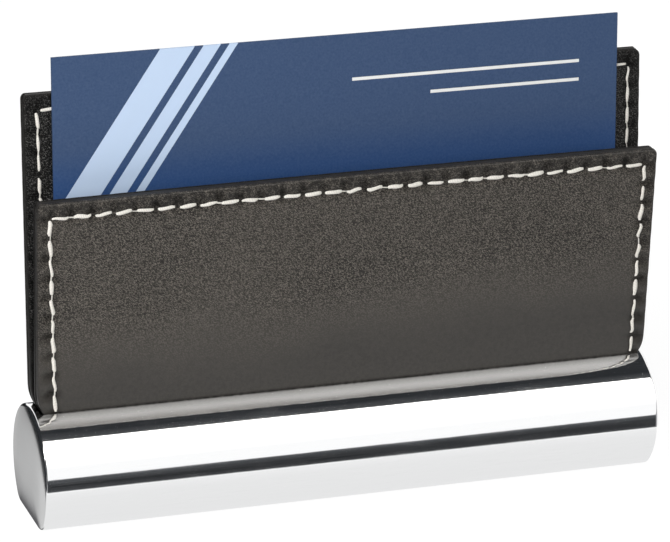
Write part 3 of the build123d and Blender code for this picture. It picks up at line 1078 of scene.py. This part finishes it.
def studio_world(settings):
    """White surroundings; what the bright metal mirrors has a dark gap at the horizon and one overhead.

    The gap overhead lies between two angles round the bar's axis, a dark card with a bright strip stands at
    the left, and the horizon is grey on both sides. Behind and below, where the end faces look, a grey wall
    is dark along a slanted line and towards the floor.
    """
    world = bpy.data.worlds.new("studio")
    bpy.context.scene.world = world
    world.use_nodes = True
    world.cycles.sampling_method = "NONE"
    world.node_tree.nodes.clear()
    net = Nodes(world.node_tree)
    way = net.coordinates("Generated")
    across, deep, up = net.split(way)
    round_bar = net.math("ARCTAN2", up, net.times(deep, -1.0))

    def around(start, full, shape="LINEAR"):
        """Ramp from 0 to 1 between two angles round the bar's axis, in degrees."""
        return net.remap(round_bar, math.radians(start), math.radians(full), shape=shape)

    # Levels from the floor to the zenith, bluish where they are dark
    cool = (0.95, 1.0, 1.07)
    levels = [(-1.0, 0.84), (-0.60, 0.86), (-0.43, 0.90), (-0.395, 1.0), (-0.378, 1.0), (-0.368, 0.060),
              (-0.32, 0.032), (-0.24, 0.020), (-0.14, 0.032), (-0.06, 0.065), (-0.015, 0.120), (0.0, 1.05),
              (1.0, 1.05)]
    ramp = net.add("ShaderNodeValToRGB", Fac=net.remap(up, -1.0, 1.0))
    elements = ramp.color_ramp.elements
    while len(elements) < len(levels):
        elements.new(0.5)
    for element, (height, level) in zip(elements, levels):
        element.position = 0.5 + 0.5 * height
        element.color = (*(level * c if level < 0.2 else level for c in cool), 1)

    # Grey wall behind, its dark top and foot, and the dark crescent along a slanted line
    behind = net.window((deep, 0.15, 0.40), (up, 0.05, -0.05), (across, 0.10, 0.0))
    wall = net.blend(net.remap(across, -0.22, -0.29), (0.48, 0.48, 0.48), (0.62, 0.62, 0.62))
    high = net.window((up, -0.395, -0.36), (across, -0.18, -0.25))
    wall = net.blend(net.times(high, 0.6), wall, (0.22, 0.22, 0.22))
    low = net.window((up, -0.390, -0.430), (across, -0.27, -0.20))
    wall = net.blend(low, wall, (0.11, 0.11, 0.115))
    crescent = net.window((net.line(up, -2.18, across), 0.521, 0.509), (up, -0.420, -0.398))
    shade = net.blend(net.remap(up, -0.360, -0.382), (0.012, 0.013, 0.014), (0.058, 0.059, 0.061))
    wall = net.blend(crescent, wall, shade)

    # Grey horizon on both sides, and the softbox
    aside = net.remap(net.math("ABSOLUTE", across), 0.50, 0.62)
    band = net.times(aside, net.stripe(up, -0.374, 0.0))
    surround = net.blend(band, ramp.outputs[0], (0.40, 0.40, 0.41))
    surround = net.blend(behind, surround, wall)
    softbox = net.times(around(18, 55, "SMOOTHSTEP"), around(80, 70))
    surround = net.blend(softbox, surround, (4.2, 4.1, 3.95), "ADD")

    # Dark gap overhead and dark cards at the left and right, open to views from the right and from behind
    overhead = net.times(around(66, 69, "SMOOTHSTEP"), net.rest(around(95, 99, "SMOOTHSTEP")))
    from_right = net.times(net.stripe(across, -0.87, -0.69), net.window((deep, 0.10, 0.0), (up, 0.66, 0.62)))
    from_back = net.times(net.stripe(across, -0.80, -0.54), net.window((deep, 0.0, -0.1), (up, -0.14, -0.18)))
    strip = net.times(around(38, 43), around(72, 67), from_right)
    in_reach = net.math("LESS_THAN", deep, net.remap(up, 0.0, 0.2, 0.30, 0.62))
    left = net.times(net.window((across, -0.52, -0.60), (up, -0.02, 0.04), (up, 0.75, 0.65)), in_reach,
                     net.rest(strip))
    corner = net.times(net.window((across, -0.26, -0.34), (up, -0.37, -0.33)),
                       net.rest(net.most(from_right, from_back)))
    right = net.times(net.window((across, 0.28, 0.33), (across, 0.52, 0.45)), around(74.5, 85.9))
    dark = net.most(overhead, left, corner, right)
    near = net.times(around(81, 66), net.math("GREATER_THAN", up, 0.0))
    gloom = net.blend(near, (0.021, 0.023, 0.026), (0.085, 0.088, 0.092))
    mirrored = net.blend(dark, surround, gloom)

    # Light flecks in what is dark
    flecks = net.remap(net.noise(net.stretched(way, (1.0, 14.0, 14.0)), 5.0, 4.0, 0.6), 0.40, 0.72)
    horizon = net.times(net.stripe(up, -0.372, -0.006), net.remap(deep, 0.40, 0.15),
                        net.remap(across, 0.30, 0.24, 0.40, 0.75), net.rest(aside))
    speckled = net.times(net.most(horizon, net.times(dark, 0.2)), flecks)
    mirrored = net.blend(speckled, mirrored, (0.120, 0.125, 0.132))

    # The camera sees white, mirrors see these surroundings, and the rest of the light is even
    path = net.add("ShaderNodeLightPath").outputs
    seen = net.add("ShaderNodeBackground", Color=WHITE, Strength=1.0).outputs[0]
    shine = net.add("ShaderNodeBackground", Color=mirrored, Strength=1.0).outputs[0]
    even = net.add("ShaderNodeBackground", Color=WHITE, Strength=settings.ambient).outputs[0]
    gloss = net.most(path["Is Glossy Ray"], path["Is Transmission Ray"])
    lit = net.mix(gloss, even, shine)
    net.add("ShaderNodeOutputWorld", Surface=net.mix(path["Is Camera Ray"], lit, seen))


def area_lamp(name, place, aim, width, height, power):
    """Soft rectangular lamp that faces a point; the world is what shines in mirrors, not the lamp."""
    data = bpy.data.lights.new(name, "AREA")
    data.shape = "RECTANGLE"
    data.size = width
    data.size_y = height
    data.energy = power
    lamp = bpy.data.objects.new(name, data)
    lamp.location = place
    lamp.rotation_euler = (Vector(aim) - Vector(place)).to_track_quat("-Z", "Y").to_euler()
    lamp.visible_camera = False
    lamp.visible_glossy = False
    bpy.context.scene.collection.objects.link(lamp)


def photo_camera(settings):
    """Camera at the photograph's angle, for a frame of 670 by 542."""
    a, e, r = settings.azimuth, settings.elevation, settings.roll
    back = Vector((-math.sin(a) * math.cos(e), -math.cos(a) * math.cos(e), math.sin(e)))
    right = (-back).cross(Vector((0, 0, 1))).normalized()
    up = right.cross(-back)
    rolled_right = right * math.cos(r) + up * math.sin(r)
    rolled_up = up * math.cos(r) - right * math.sin(r)
    data = bpy.data.cameras.new("camera")
    data.sensor_fit = "HORIZONTAL"
    data.sensor_width = 36.0
    data.lens = settings.focal
    data.clip_start = 0.01
    data.clip_end = 30.0
    camera = bpy.data.objects.new("camera", data)
    turned = Matrix((rolled_right, rolled_up, back)).transposed().to_4x4()
    aim = Vector((settings.look_x, 0, settings.look_z))
    camera.matrix_world = Matrix.Translation(aim + back * settings.distance) @ turned
    bpy.context.scene.collection.objects.link(camera)
    bpy.context.scene.camera = camera


class CARDSTAND_PT_sidebar(bpy.types.Panel):
    """Lists the steps that build the stand"""

    bl_idname = "CARDSTAND_PT_sidebar"
    bl_label = "Card Stand"
    bl_space_type = "VIEW_3D"
    bl_region_type = "UI"
    bl_category = "Card Stand"

    def draw(self, context):
        for step in STEPS:
            self.layout.operator(step.bl_idname)


STEPS = (CARDSTAND_OT_bar, CARDSTAND_OT_foot, CARDSTAND_OT_panels, CARDSTAND_OT_stitching, CARDSTAND_OT_card,
         CARDSTAND_OT_stage)
SETTINGS = (BarSettings, LeatherSettings, ThreadSettings, CardSettings, StageSettings, StandSettings)


def register():
    for cls in (*SETTINGS, *STEPS, CARDSTAND_PT_sidebar):
        bpy.utils.register_class(cls)
    bpy.types.Scene.card_stand = PointerProperty(type=StandSettings)


def unregister():
    del bpy.types.Scene.card_stand
    for cls in reversed((*SETTINGS, *STEPS, CARDSTAND_PT_sidebar)):
        bpy.utils.unregister_class(cls)


def main():
    """Build every piece in order."""
    register()
    bpy.ops.card_stand.bar()
    bpy.ops.card_stand.foot()
    bpy.ops.card_stand.panels()
    bpy.ops.card_stand.stitching()
    bpy.ops.card_stand.card()
    bpy.ops.card_stand.stage()


if __name__ == "__main__":
    main()
